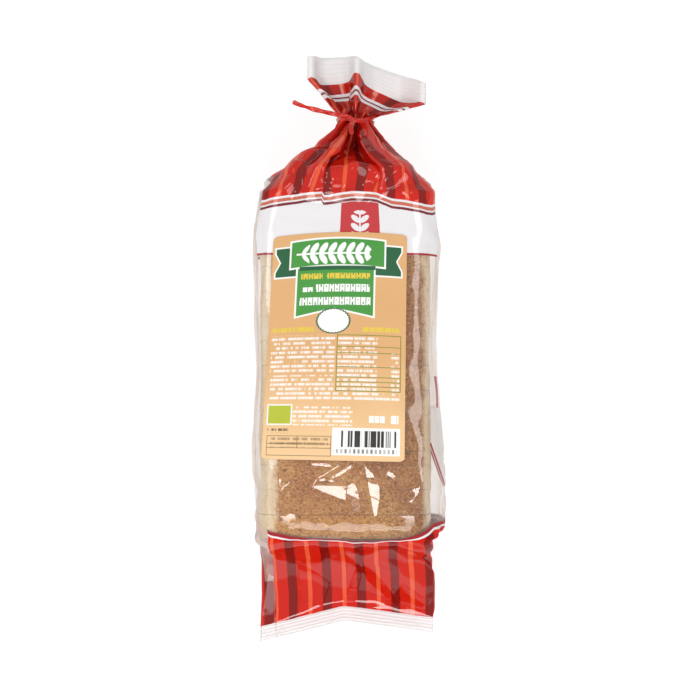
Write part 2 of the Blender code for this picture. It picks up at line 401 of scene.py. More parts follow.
def tucked_section(u, gap):
    """Front and back panels a gap apart, with the sides of the bag folded in between them."""
    depth = math.sqrt(max(0.0, (SIDE / 2) ** 2 - (gap / 2) ** 2))
    inner_left, inner_right = (LEFT_FOLD + BACK_LEFT) / 2 + depth, (RIGHT_FOLD + BACK_RIGHT) / 2 - depth
    middle = BACK_LEFT + ROUND / 2 - SIDE + LEFT_FOLD
    steps = (
        (-ROUND / 2, middle, -0.5),
        (LEFT_FOLD - SIDE, BACK_LEFT, -0.5),
        (LEFT_FOLD - SIDE / 2, inner_left, 0),
        (LEFT_FOLD, LEFT_FOLD, 0.5),
        (RIGHT_FOLD, RIGHT_FOLD, 0.5),
        (RIGHT_FOLD + SIDE / 2, inner_right, 0),
        (RIGHT_FOLD + SIDE, BACK_RIGHT, -0.5),
        (ROUND / 2, middle, -0.5),
    )
    at, x, level = np.array(steps).T
    return np.stack([np.interp(u, at, x), gap * np.interp(u, at, level)], axis=1)


def pleat_wave(u):
    """The gather at the neck: uneven pleats, each a zigzag out and in."""
    stretch = u + 0.0035 * np.sin(u * 61 + 1) + 0.0025 * np.sin(u * 118 + 2)
    return 2 / np.pi * np.arcsin(np.sin(2 * np.pi * NECK_PLEATS * stretch / ROUND))


NECK_PLEATS = 23
NECK_SHARE = 0.115
PLEAT_REACH = ROUND * math.sqrt(1 - NECK_SHARE**2) / (4 * NECK_PLEATS)
# The folds of the shoulders in mm. Each row follows one line of film from the loaf to the neck:
# its u, and where it is after a quarter, a half and three quarters of the way.
FOLDS = np.array((
    (-188.0, 1, 110, 5, 2, 120, 18, 4, 127, 32),
    (-160.0, -24, 108, 8, -14, 118, 22, -2, 127, 35),
    (-148.0, -30, 109, 14, -20, 117, 30, -5, 126, 39),
    (-135.5, -38, 107, 12, -28, 117, 26, -13, 127, 37),
    (-112.0, -43, 104, 30, -29, 113, 37, -9, 124, 41),
    (-89.0, -43, 106, 45, -20, 112, 46, -4, 123, 45),
    (-66.0, -43, 105, 62, -29, 114, 55, -10, 125, 49),
    (-42.5, -35, 108, 78, -28, 117, 66, -14, 127, 55),
    (-36.5, -30, 110, 84, -22, 120, 74, -10, 128, 61),
    (-30.0, -24, 108, 80, -15, 117, 71, -6, 125, 58),
    (-23.5, -17, 111, 87, -10, 121, 80, -3, 129, 67),
    (-17.0, -10, 111, 86, -3, 119, 79, 1, 127, 66),
    (-11.0, -14, 110, 82, -9, 117, 73, -4, 125, 60),
    (-7.0, -6, 111, 83, -4, 116, 69, -1, 123, 53),
    (3.0, 4, 113, 85, 3, 116, 67, 3, 122, 49),
    (13.0, 14, 111, 83, 10, 116, 69, 7, 123, 53),
    (17.0, 22, 110, 82, 14, 117, 73, 11, 125, 60),
    (23.0, 18, 110, 87, 8, 119, 80, 6, 127, 67),
    (31.0, 26, 111, 88, 17, 122, 80, 11, 129, 67),
    (42.0, 34, 109, 84, 27, 119, 72, 17, 128, 60),
    (52.5, 38, 107, 75, 34, 116, 61, 20, 127, 54),
    (76.0, 44, 104, 61, 31, 113, 53, 15, 125, 48),
    (99.0, 43, 106, 45, 22, 111, 45, 9, 123, 45),
    (122.0, 44, 104, 30, 30, 113, 37, 14, 125, 41),
    (145.5, 38, 107, 12, 31, 117, 26, 19, 127, 37),
    (158.0, 31, 109, 14, 22, 117, 30, 11, 126, 39),
    (170.0, 24, 108, 8, 15, 118, 22, 8, 127, 35),
    (188.0, 1, 110, 5, 2, 120, 18, 4, 127, 32),
)) * MM
# The upper weld, seen end on: three ridges with hollows between them, as x and height in mm
WELD_LINE = np.array((
    (-23, 3), (-20.5, 8), (-17.5, 4), (-15, -6), (-4, -7), (1.5, -4), (4.5, 9), (6, 11), (7.5, 9), (10.5, -4),
    (18, -8), (31, -7), (38, 0), (43, 8), (46, 5),
)) * MM
WELD_INNER = ((-0.023, 0.006, 0.046), (0.1630, 0.1653, 0.1475))
WELD_OUTER = ((-0.023, 0.002, 0.0465), (0.1750, 0.1756, 0.1596))
WELD_RECESS = 0.0045
BODY_A, BODY_B, BODY_CORNER = 0.055, 0.0438, 0.013
MIDDLE = BODY_B + 0.0002
TAPER = 0.10
FOOT_BEND, FOOT_SLOPES = -0.0015, (0.25, 0.13)
FOOT_HEIGHT = 0.020
HALF = LOAF_SIZE[1] / 2


def foot_row(u, box, v):
    """From the flat lower weld the panels part and the tucked sides open out."""
    t = max(0.0, v / FOOT_WEDGE)
    tucked = tucked_section(u, WELD_GAP + 0.0872 * smooth(t))
    tucked[:, 0] += 0.003 * smooth(t) * (tucked[:, 0] > 0.04)
    share = smooth((t - 0.55) / 0.45)
    section = tucked * (1 - share) + box * share
    height = FOOT_HEIGHT + (MIDDLE - FOOT_HEIGHT) * smooth(t)
    along = -HALF - 0.0425 * (1 - t) ** 1.2 + min(0.0, v)
    slopes = np.where(section[:, 0] < FOOT_BEND, *FOOT_SLOPES)
    along = along - (1 - t) * slopes * np.abs(section[:, 0] - FOOT_BEND)
    return np.column_stack([section[:, 0], along, section[:, 1] + height])


def shoulder_row(u, box, v):
    s = (v - V_SHOULDER) / SHOULDER
    low = np.column_stack([box[:, 0] * (1 - TAPER), np.full(len(u), HALF), box[:, 1] + MIDDLE])
    angle = np.arctan2(box[:, 1] / BODY_B, box[:, 0] / BODY_A)
    outward = np.column_stack([np.cos(angle), np.zeros(len(u)), np.sin(angle)])
    high = np.column_stack([box[:, 0], np.zeros(len(u)), box[:, 1]]) * NECK_SHARE + np.array(NECK)
    stops = [low] + [
        np.stack([np.interp(u, FOLDS[:, 0], FOLDS[:, column + axis]) for axis in range(3)], axis=1)
        for column in (1, 4, 7)
    ] + [high]
    step = min(int(s * 4), 3)
    share = s * 4 - step
    row = stops[step] * (1 - share) + stops[step + 1] * share
    return row + outward * (PLEAT_REACH * smooth((s - 0.3) / 0.7) * pleat_wave(u))[:, None]


def head_row(u, box, v):
    """From the gather to the upper weld."""
    s = min(1.0, (v - V_NECK) / HEAD)
    angle = np.arctan2(box[:, 1] / BODY_B, box[:, 0] / BODY_A)
    reach = PLEAT_REACH * pleat_wave(u)
    neck_x = NECK.x + box[:, 0] * NECK_SHARE + np.cos(angle) * reach
    neck_z = NECK.z + box[:, 1] * NECK_SHARE + np.sin(angle) * reach
    tucked = tucked_section(u, WELD_GAP)
    share = (tucked[:, 0] - BACK_LEFT) / (RIGHT_FOLD - BACK_LEFT)
    line = outline_places(WELD_LINE, share, closed=False)
    ridge = np.clip((line[:, 1] + 0.006) / 0.014, 0, 1)
    inner = np.interp(line[:, 0], *WELD_INNER) - WELD_RECESS * (1 - ridge)
    outer = np.interp(line[:, 0], *WELD_OUTER)
    into = max(0.0, (v - V_HEAD_WELD) / HEAD_WELD)
    along = NECK.y + (inner - NECK.y) * s + (outer - inner) * into
    x = neck_x * (1 - s) + line[:, 0] * s
    rise = min(1.0, s * 1.5)
    z = neck_z * (1 - rise) + (NECK.z + line[:, 1] + tucked[:, 1]) * rise
    return np.column_stack([x, along, z])


def film_start(u, v):
    """Roughly where each place of the sheet goes, before it settles."""
    box = outline_places(rounded_outline(BODY_A, BODY_B, BODY_CORNER), u / ROUND)
    start = np.zeros((len(u), 3))
    for row in np.unique(v):
        here = v == row
        if row < V_LOAF:
            start[here] = foot_row(u[here], box[here], row)
        elif row <= V_SHOULDER:
            body = box[here]
            along = np.full(len(body), row - V_LOAF - HALF)
            narrow = 1 - TAPER * smooth((row - V_SHOULDER + 0.030) / 0.030)
            start[here] = np.column_stack([body[:, 0] * narrow, along, body[:, 1] + MIDDLE])
        elif row < V_NECK:
            start[here] = shoulder_row(u[here], box[here], row)
        else:
            start[here] = head_row(u[here], box[here], row)
    start[:, 2] = np.maximum(start[:, 2], 0.0003)
    return start


def film_flat(u, v):
    """The unfolded tube, whose lengths the film keeps."""
    box = outline_places(rounded_outline(BODY_A, BODY_B, BODY_CORNER), u / ROUND)
    return np.stack([box[:, 0], v - V_LOAF - HALF, box[:, 1] + MIDDLE], axis=1)


# %% Lay out the grid and close it to a tube
def sheet_places(piece):
    """The u and v of every point, read from the UV map."""
    count = len(piece.data.loops)
    uv, corner = np.empty(count * 2), np.empty(count, dtype=int)
    piece.data.uv_layers.active.data.foreach_get("uv", uv)
    piece.data.loops.foreach_get("vertex_index", corner)
    places = np.zeros((len(piece.data.vertices), 2))
    places[corner] = uv.reshape(-1, 2)
    return (places[:, 0] - 0.5) * ROUND, places[:, 1] * (V_END + FOOT_WELD) - FOOT_WELD


def make_sheet():
    bpy.ops.mesh.primitive_grid_add(x_subdivisions=COLUMNS, y_subdivisions=len(ROWS) - 1, size=1)
    sheet = bpy.context.object
    sheet.name = sheet.data.name = "film"
    loose = points_of(sheet)
    row = np.rint((loose[:, 1] + 0.5) * (len(ROWS) - 1)).astype(int)
    u, v = loose[:, 0] * ROUND, ROWS[row]
    uv = np.empty(len(sheet.data.loops) * 2)
    corner = np.empty(len(sheet.data.loops), dtype=int)
    sheet.data.loops.foreach_get("vertex_index", corner)
    uv[0::2] = u[corner] / ROUND + 0.5
    uv[1::2] = (v[corner] + FOOT_WELD) / (V_END + FOOT_WELD)
    sheet.data.uv_layers.active.data.foreach_set("uv", uv)
    move_points(sheet, film_start(u, v))
    bpy.ops.object.mode_set(mode="EDIT")
    bpy.ops.mesh.select_all(action="SELECT")
    bpy.ops.mesh.remove_doubles(threshold=0.000001)
    bpy.ops.object.mode_set(mode="OBJECT")
    return sheet


# %% Let the film settle
SETTLE_FRAMES = 40
NUDGE = 0.00012
TIE_REACH = 0.0027
# Creased folds keep their form: this share of the start shape stays, by place along the film
KEPT_PLACES = (V_LOAF, V_SHOULDER - 0.030, V_SHOULDER, V_SHOULDER + 0.014, V_NECK, V_END)
KEPT_SHARES = (0.0, 0.0, 0.6, 0.9, 0.9, 0.92)


def settle(sheet, form):
    u, v = sheet_places(sheet)
    nudge = np.random.default_rng(7).normal(0, NUDGE, (len(u), 3))
    move_points(sheet, points_of(sheet) + nudge)
    sheet.shape_key_add(name="start")
    flat = sheet.shape_key_add(name="flat")
    flat.data.foreach_set("co", film_flat(u, v).astype(np.float32).ravel())
    flat.value = 0.0
    held = sheet.vertex_groups.new(name="held")
    is_held = (v <= 0.00001) | (abs(v - V_NECK) < TIE_REACH) | (v >= V_HEAD_WELD - 0.00001)
    held.add(np.nonzero(is_held)[0].tolist(), 1.0, "REPLACE")
    form.modifiers.new("solid", "COLLISION")
    form.collision.thickness_outer = 0.0008
    form.collision.cloth_friction = 3
    bpy.ops.mesh.primitive_plane_add(size=1, location=(0, 0, -0.0005))
    ground = bpy.context.object
    ground.modifiers.new("solid", "COLLISION")
    ground.collision.thickness_outer = 0.0005
    cloth = sheet.modifiers.new("settling", "CLOTH")
    film = cloth.settings
    film.vertex_group_mass = "held"
    film.rest_shape_key = flat
    film.quality = 6
    film.mass = 0.05
    film.air_damping = 3
    film.tension_stiffness = film.compression_stiffness = 60
    film.shear_stiffness = 30
    film.bending_stiffness = 0.6
    film.tension_damping = film.compression_damping = film.shear_damping = 10
    film.effector_weights.gravity = 0.25
    cloth.collision_settings.distance_min = 0.0008
    for number in range(1, SETTLE_FRAMES + 1):
        bpy.context.scene.frame_set(number)
    settled = sheet.evaluated_get(bpy.context.evaluated_depsgraph_get())
    result = np.empty(len(sheet.data.vertices) * 3)
    settled.data.vertices.foreach_get("co", result)
    result = result.reshape(-1, 3)
    kept = np.interp(v, KEPT_PLACES, KEPT_SHARES)[:, None]
    result = result * (1 - kept) + points_of(sheet) * kept
    sheet.modifiers.remove(cloth)
    sheet.shape_key_clear()
    sheet.vertex_groups.clear()
    move_points(sheet, result)
    for helper in (form, ground):
        bpy.data.objects.remove(helper)
    bpy.context.scene.frame_set(1)


form = make_form()
film = make_sheet()
settle(film, form)

# %% [markdown]
# ## Sort the layers
#
# At both ends the sides of the bag lie folded between its front and its back. The simulation doesn't
# know that the layers can't cross, so each tucked point is put back between the two panels.


# %% Put the tucked sides back between the panels
FOOT_TUCKED_TO, HEAD_TUCKED_FROM = 0.072, V_NECK + HEAD * 0.25


def panel_tree(sheet, wanted):
    """A search tree over the faces whose corners are all wanted."""
    faces = [face.vertices[:] for face in sheet.data.polygons if all(wanted[i] for i in face.vertices)]
    return BVHTree.FromPolygons([vertex.co for vertex in sheet.data.vertices], faces)


def sort_layers(sheet):
    u, v = sheet_places(sheet)
    edge = 0.0001
    front = (u > LEFT_FOLD - edge) & (u < RIGHT_FOLD + edge)
    back = (u < LEFT_FOLD - SIDE + edge) | (u > RIGHT_FOLD + SIDE - edge)
    at_ends = (v < FOOT_TUCKED_TO) | (v > HEAD_TUCKED_FROM)
    front_tree, back_tree = panel_tree(sheet, front & at_ends), panel_tree(sheet, back & at_ends)
    points = points_of(sheet)
    for i in np.nonzero(at_ends & ~back)[0]:
        x, y, z = points[i]
        below = back_tree.ray_cast(Vector((x, y, -1)), Vector((0, 0, 1)))[0]
        above = front_tree.ray_cast(Vector((x, y, 1)), Vector((0, 0, -1)))[0]
        if front[i]:
            if below is not None:
                points[i, 2] = max(z, below.z + WELD_GAP)
        elif below is not None and above is not None:
            low, high = below.z + WELD_GAP * 0.3, max(above.z, below.z + WELD_GAP) - WELD_GAP * 0.3
            points[i, 2] = min(max(z, low), high)
    move_points(sheet, points)


sort_layers(film)

# %% [markdown]
# ## Creases and welds
#
# Film that has been handled is crumpled: it breaks into small flat facets with sharp creases between
# them, and the facets catch the light. Here a net of triangles over the sheet gives each place its lift.
# Most of the net's points are scattered by chance, thickly where the film is gathered and thinly where
# it is drawn tight. The larger creases are listed. The welds are pressed into parallel ribs.

# %% Refine the film and press in its creases
RIB = 0.0019
RIB_HEIGHT = 0.00022
# Chosen points of the net: u, v and lift, in mm
CREASE_POINTS = (
    # the peaks and facets of the foot
    (7, 47, 1.2), (5, 32, 0.9), (2, 16, 0.6), (-2, 4, 0.3), (16, 32, 1.0), (22, 22, 0.7), (28, 14, 0.5),
    (40, 8, 0.4), (11, 25, -0.4), (15, 10, -0.3), (-28, 45, 0.6), (-20, 30, -0.3), (-10, 40, -0.3),
    (-12, 22, 0.6), (-30, 20, 0.5), (-22, 8, -0.2), (-8, 12, -0.3), (28, 36, -0.5), (38, 28, 1.2),
    (46, 38, -0.3), (45, 18, 1.2), (-35, 62, 0.5), (-15, 64, -0.6), (5, 66, 0.4), (25, 62, -0.5),
    (42, 60, 0.7),
    # the film below the label lies almost flat
    (-20, 111, 0.5), (1, 119, 0.0), (6, 106, 0.0), (-14, 104, 0.0), (-30, 112, 0.3), (14, 118, 0.0),
    (19, 106, 0.0), (16, 94, 0.0), (28, 110, 0.0), (-47, 125, 1.0), (-39, 120, 1.2), (-42, 100, 1.0),
    (-36, 100, 0.0), (-46, 108, 0.0), (-10, 94, 0.0), (4, 90, 0.0), (-30, 92, 0.0), (36, 100, 0.3),
    (45, 112, 1.2), (50, 135, 0.9), (42, 128, 0.0), (54, 112, 0.0),
)


# How far apart the net's chance points stand, from one place along the film to the next
NET_STEPS = (
    (-0.006, V_LOAF, 0.011),
    (V_LOAF, V_SHOULDER - 0.02, 0.024),
    (V_SHOULDER - 0.02, V_END, 0.0085),
)
NET_CLEARANCE = 0.010


def crumple_amount(v):
    """How far chance lifts the net, from the foot weld to the head weld."""
    places = np.array((0, 8, 60, 84, 100, 240, 262, 285, 340, 352, 378)) * MM
    lifts = np.array((0, 0.6, 0.6, 0.15, 0.05, 0.08, 0.3, 2.2, 1.2, 0.6, 0.0)) * MM
    return np.interp(v, places, lifts)


def crease_net():
    draw = np.random.default_rng(23)
    dots = [(u * MM, v * MM, lift * MM) for u, v, lift in CREASE_POINTS]
    chosen = np.array(dots)
    for low, high, step in NET_STEPS:
        for v in np.arange(low, high, step):
            for u in np.arange(-ROUND / 2, ROUND / 2, step):
                spot = np.array((u, v)) + draw.uniform(-0.4, 0.4, 2) * step
                if np.hypot(*(chosen[:, :2] - spot).T).min() > NET_CLEARANCE:
                    dots.append((*spot, draw.uniform(-1, 1) * crumple_amount(spot[1])))
    dots = np.array(dots)
    beside = [dots[dots[:, 0] * side > ROUND / 2 - 0.03] - (side * ROUND, 0, 0) for side in (-1, 1)]
    return np.vstack([dots, *beside])


def crease_lift(u, v):
    """The lift of the net at each place, flat within every triangle."""
    dots = crease_net()
    net = delaunay_2d_cdt([Vector(dot[:2]) for dot in dots], [], [], 0, 0.00001)
    order = [origin[0] for origin in net[3]]
    lift = np.zeros(len(u))
    for face in net[2]:
        a, b, c = (dots[order[i]] for i in face)
        near = np.nonzero((abs(u - a[0]) < 0.04) & (abs(v - a[1]) < 0.04))[0]
        du, dv = u[near] - a[0], v[near] - a[1]
        size = (b[0] - a[0]) * (c[1] - a[1]) - (c[0] - a[0]) * (b[1] - a[1])
        share_b = (du * (c[1] - a[1]) - dv * (c[0] - a[0])) / size
        share_c = (dv * (b[0] - a[0]) - du * (b[1] - a[1])) / size
        inside = (share_b >= 0) & (share_c >= 0) & (share_b + share_c <= 1)
        height = a[2] + share_b * (b[2] - a[2]) + share_c * (c[2] - a[2])
        lift[near[inside]] = height[inside]
    return lift


# Soft bulges where the film stands off the crust: u, v, half-widths along both, and lift, in mm
BILLOWS = (
    (-41, 108, 4, 11, 1.4), (44, 112, 4, 20, 1.4), (-24, 95, 10, 5, 0.4), (0, 66, 30, 8, 0.6),
)


def billows(u, v):
    total = np.zeros(len(u))
    for at_u, at_v, wide, long, lift in BILLOWS:
        total += lift * MM * np.exp(-(((u / MM - at_u) / wide) ** 2) - ((v / MM - at_v) / long) ** 2)
    return total


def apply_modifier(piece, modifier):
    bpy.ops.object.select_all(action="DESELECT")
    bpy.context.view_layer.objects.active = piece
    piece.select_set(True)
    bpy.ops.object.modifier_apply(modifier=modifier.name)


def normals_of(piece):
    flat = np.empty(len(piece.data.vertices) * 3)
    piece.data.vertices.foreach_get("normal", flat)
    return flat.reshape(-1, 3)


# Where the sides of the bag stand, from above: y and x in mm
LEFT_SIDE = (
    (-150, -134, -123, -113, -103, -98, -66, -38, -3, 37, 76, 97.5),
    (-51, -49.9, -50.4, -51.6, -50.4, -51, -52.7, -53.3, -50.6, -52.7, -52.2, -48.5),
)
RIGHT_SIDE = (
    (-146, -141, -134, -123, -112, -100, -77, -43, -6, 19, 59, 76, 97.5),
    (49.9, 52.7, 53.3, 53.9, 55, 56, 57.3, 55.6, 52.2, 51, 53.3, 52.7, 49),
)


def stand_off(sheet):
    """Moves the sides of the bag out to where they stand loose from the loaf."""
    points = points_of(sheet)
    _, v = sheet_places(sheet)
    for row in np.unique(np.round(v, 6)):
        if V_LOAF <= row <= V_SHOULDER:
            here = np.nonzero(abs(v - row) < 0.00001)[0]
            x, y, z = points[here].T
            for side, (ys, xs) in ((-1, LEFT_SIDE), (1, RIGHT_SIDE)):
                wanted = np.interp(y.mean() / MM, ys, xs) * MM
                gap = max(-0.006, side * wanted - (side * x)[z > 0.03].max())
                loose = np.sin(np.pi * np.clip(z / 0.088, 0, 1)) ** 0.6
                x = x + side * gap * loose * smooth((side * x - 0.036) / 0.012)
            points[here, 0] = x
    for side, (ys, xs) in ((-1, LEFT_SIDE), (1, RIGHT_SIDE)):
        over = side * points[:, 0] - side * np.interp(points[:, 1] / MM, ys, xs) * MM
        too_wide = (over > 0) & (v < V_LOAF)
        points[too_wide, 0] -= side * over[too_wide] * 0.85
    move_points(sheet, points)


def refine(sheet):
    finer = sheet.modifiers.new("finer", "SUBSURF")
    finer.levels = finer.render_levels = 1
    apply_modifier(sheet, finer)
    u, v = sheet_places(sheet)
    tucked = (abs(u - LEFT_FOLD + SIDE / 2) < SIDE / 2) | (abs(u - RIGHT_FOLD - SIDE / 2) < SIDE / 2)
    lift = crease_lift(u, v) * np.where(tucked & (v < V_LOAF), smooth(v / V_LOAF), 1)
    lift = np.where((v > V_LOAF) & (v < V_SHOULDER), np.maximum(lift, 0), lift) + billows(u, v)
    points = points_of(sheet) + normals_of(sheet) * lift[:, None]
    ribs = 0.5 - 0.5 * np.cos(2 * np.pi * v / RIB)
    in_weld = (v < -RIB * 0.2) | (v > V_HEAD_WELD + 0.002)
    points[:, 2] += np.where(in_weld, RIB_HEIGHT * ribs, 0)
    points[:, 2] = np.maximum(points[:, 2], 0.0001)
    move_points(sheet, points)
    sort_layers(sheet)
    points = points_of(sheet)
    back = (u < LEFT_FOLD - SIDE) | (u > RIGHT_FOLD + SIDE)
    for end in (-FOOT_WELD, V_END):
        row = np.nonzero(abs(v - end) < 0.00001)[0]
        under = row[back[row]]
        under = under[np.argsort(points[under, 0])]
        points[row, 2] = np.interp(points[row, 0], points[under, 0], points[under, 2])
    move_points(sheet, points)


stand_off(film)
refine(film)
print("film faces:", len(film.data.polygons))

# %% [markdown]
# ## The label
#
# The sticker lies flat on the upper panel and bends over the loaf's left edge. It is a grid whose corners
# are put where they belong, dropped on to the film and smoothed, and the film below is pressed down a
# little so that it never pokes through.

# %% Lay the label on the film
LABEL_WIDTH, LABEL_HEIGHT = 0.078, 0.126
LABEL_CORNERS = ((-0.0473, -0.0524), (0.0322, -0.0540), (0.0336, 0.0716), (-0.0402, 0.0705))
LABEL_BULGE = 0.0022
LABEL_ROUND = 0.0022
LABEL_LIFT = 0.00045
LABEL_COLUMNS, LABEL_ROWS = 78, 126
LABEL_SMOOTHING = 30


def label_plan(s, t):
    """Where a place of the label lies from above. s runs across it and t up it, from 0 to 1."""
    low_left, low_right, high_right, high_left = (np.array(corner) for corner in LABEL_CORNERS)
    s, t = s[:, None], t[:, None]
    low = low_left * (1 - s) + low_right * s
    high = high_left * (1 - s) + high_right * s
    plan = low * (1 - t) + high * t
    plan[:, 1] += LABEL_BULGE * (t * 4 * s * (1 - s))[:, 0]
    return plan


def round_corners(s, t):
    """Shares across the label, drawn in at its rounded corners."""
    x, y = (s - 0.5) * LABEL_WIDTH, (t - 0.5) * LABEL_HEIGHT
    limit = LABEL_HEIGHT / 2 - LABEL_ROUND
    into = np.clip((np.abs(y) - limit) / LABEL_ROUND, 0, 1)
    edge = LABEL_WIDTH / 2 - LABEL_ROUND * (1 - np.sqrt(1 - into**2))
    return np.clip(x, -edge, edge) / LABEL_WIDTH + 0.5


def make_label(sheet):
    bpy.ops.mesh.primitive_grid_add(x_subdivisions=LABEL_COLUMNS, y_subdivisions=LABEL_ROWS, size=1)
    label = bpy.context.object
    label.name = label.data.name = "label_sheet"
    square = points_of(label)[:, :2] + 0.5
    s, t = round_corners(square[:, 0], square[:, 1]), square[:, 1]
    plan = label_plan(s, t)
    film_tree = BVHTree.FromObject(sheet, bpy.context.evaluated_depsgraph_get())
    heights = np.empty(len(plan))
    for i, (x, y) in enumerate(plan):
        hit = film_tree.ray_cast(Vector((x, y, 1)), Vector((0, 0, -1)))[0]
        heights[i] = hit.z
    grid = heights.reshape(LABEL_ROWS + 1, LABEL_COLUMNS + 1)
    for _ in range(LABEL_SMOOTHING):
        padded = np.pad(grid, 1, mode="edge")
        blurred = (padded[:-2, 1:-1] + padded[2:, 1:-1] + padded[1:-1, :-2] + padded[1:-1, 2:]) / 4
        grid = 0.5 * grid + 0.5 * blurred
    heights = grid.ravel() + LABEL_LIFT
    move_points(label, np.column_stack([plan, heights]))
    return label


def press_under(sheet, label):
    """Presses the film down wherever it would show through the label."""
    tree = BVHTree.FromObject(label, bpy.context.evaluated_depsgraph_get())
    points = points_of(sheet)
    for i in np.nonzero(points[:, 2] > MIDDLE_HEIGHT)[0]:
        x, y, z = points[i]
        hit = tree.ray_cast(Vector((x, y, 1)), Vector((0, 0, -1)))[0]
        if hit is not None:
            points[i, 2] = min(z, hit.z - LABEL_LIFT * 0.7)
    move_points(sheet, points)


label = make_label(film)
press_under(film, label)
print("label faces:", len(label.data.polygons))

# %% [markdown]
# ## The tie
#
# A strip of red plastic goes round the neck, crosses over itself in front and leaves a long tail to the
# left. It is flat, so a grid is wrapped round a small oblong section and carried along a route that rolls.

# %% Wind the tie round the neck
TIE_WIDTH = 0.0029
TIE_THICK = 0.0005
TIE_COIL = 0.0100
TIE_TURNS = 1.9
TIE_START = math.radians(112)
TIE_STEPS = 60
LONG_TIP = np.array((tie_low.x + 0.0003, 0.1485, 0.0605))
SHORT_TIP = np.array((0.0030, 0.1290, 0.0640))


def hermite(start, end, leave, arrive, count):
    """Points of a smooth curve between two places, with its directions at both ends."""
    points = []
    for i in range(count):
        t = i / count
        rise = t * t * (3 - 2 * t)
        points.append(start * (1 - rise) + end * rise + leave * t * (1 - t) ** 2 + arrive * t * t * (t - 1))
    return points


def tie_route():
    neck = np.array(NECK)
    loop = []
    for i in range(TIE_STEPS + 1):
        angle = TIE_START + 2 * math.pi * TIE_TURNS * i / TIE_STEPS
        wobble = 0.0009 * math.sin(angle * 2.3)
        drop = 0.0016 * math.cos(math.pi * i / TIE_STEPS) + wobble
        reach = TIE_COIL + 0.0006 * (i / TIE_STEPS)
        loop.append(neck + np.array((reach * math.cos(angle), drop, reach * math.sin(angle))))
    heading = loop[1] - loop[0]
    heading /= np.linalg.norm(heading)
    tail = hermite(LONG_TIP, loop[0], np.array((0.03, -0.018, 0.0)), heading * 0.02, 26)
    out = loop[-1] - loop[-2]
    out /= np.linalg.norm(out)
    short = hermite(loop[-1], SHORT_TIP, out * 0.02, np.array((0.001, -0.012, 0.002)), 12)
    return np.array(tail + loop + short[1:] + [SHORT_TIP])


def make_tie():
    """The ribbon: a grid whose rows become the rings of its section, closed round and at both tips."""
    route = tie_route()
    ahead = np.gradient(route, axis=0)
    ahead /= np.linalg.norm(ahead, axis=1, keepdims=True)
    out = route - np.array(NECK)
    out[:, 1] *= 0.2
    out -= ahead * np.sum(out * ahead, axis=1, keepdims=True)
    out /= np.linalg.norm(out, axis=1, keepdims=True)
    side = np.cross(ahead, out)
    section = ((-0.5, -0.5), (0, -0.62), (0.5, -0.5), (0.5, 0.5), (0, 0.62), (-0.5, 0.5), (-0.5, -0.5))
    rings = np.empty((len(route), len(section), 3))
    for i, point in enumerate(route):
        roll = 0.45 * math.sin(i * 0.9) + 0.25 * math.sin(i * 2.1)
        wide = side[i] * math.cos(roll) + out[i] * math.sin(roll)
        thick = np.cross(wide, ahead[i])
        width = TIE_WIDTH * (1 + 0.12 * math.sin(i * 1.7) + 0.08 * math.sin(i * 3.1))
        for j, (a, b) in enumerate(section):
            rings[i, j] = point + wide * width * a + thick * TIE_THICK * b
    rings[0], rings[-1] = route[0], route[-1]
    bpy.ops.mesh.primitive_grid_add(x_subdivisions=len(route) - 1, y_subdivisions=len(section) - 1, size=1)
    strip = bpy.context.object
    strip.name = strip.data.name = "tie_strip"
    square = points_of(strip)[:, :2] + 0.5
    ring, corner = np.rint(square * (len(route) - 1, len(section) - 1)).astype(int).T
    move_points(strip, rings[ring, corner])
    bpy.ops.object.mode_set(mode="EDIT")
    bpy.ops.mesh.select_all(action="SELECT")
    bpy.ops.mesh.remove_doubles(threshold=0.000001)
    bpy.ops.mesh.normals_make_consistent(inside=False)
    bpy.ops.object.mode_set(mode="OBJECT")
    rounder = strip.modifiers.new("rounder", "SUBSURF")
    rounder.levels = rounder.render_levels = 1
    apply_modifier(strip, rounder)
    return strip


tie = make_tie()
print("tie faces:", len(tie.data.polygons))

# %% [markdown]
# ## Finishes: the film's layers
#
# Clear film is mostly seen by what it mirrors. Over the loaf its creases break it into flat facets. The
# sheet would need very fine faces to hold them, so they are listed by their corners and tilt the gloss.
# Below the gloss lies ink or clear plastic, which is a little hazy and greyer where it is seen aslant.

# %% Lay gloss over ink and clear plastic
# Tilts that mirror the lamp beyond the foot and the wide panel on the left, as slopes in x and y
TO_LAMP, TO_LAMP_EDGE, TO_PANEL = (0.0, 0.212), (0.02, 0.175), (0.394, 0.09)
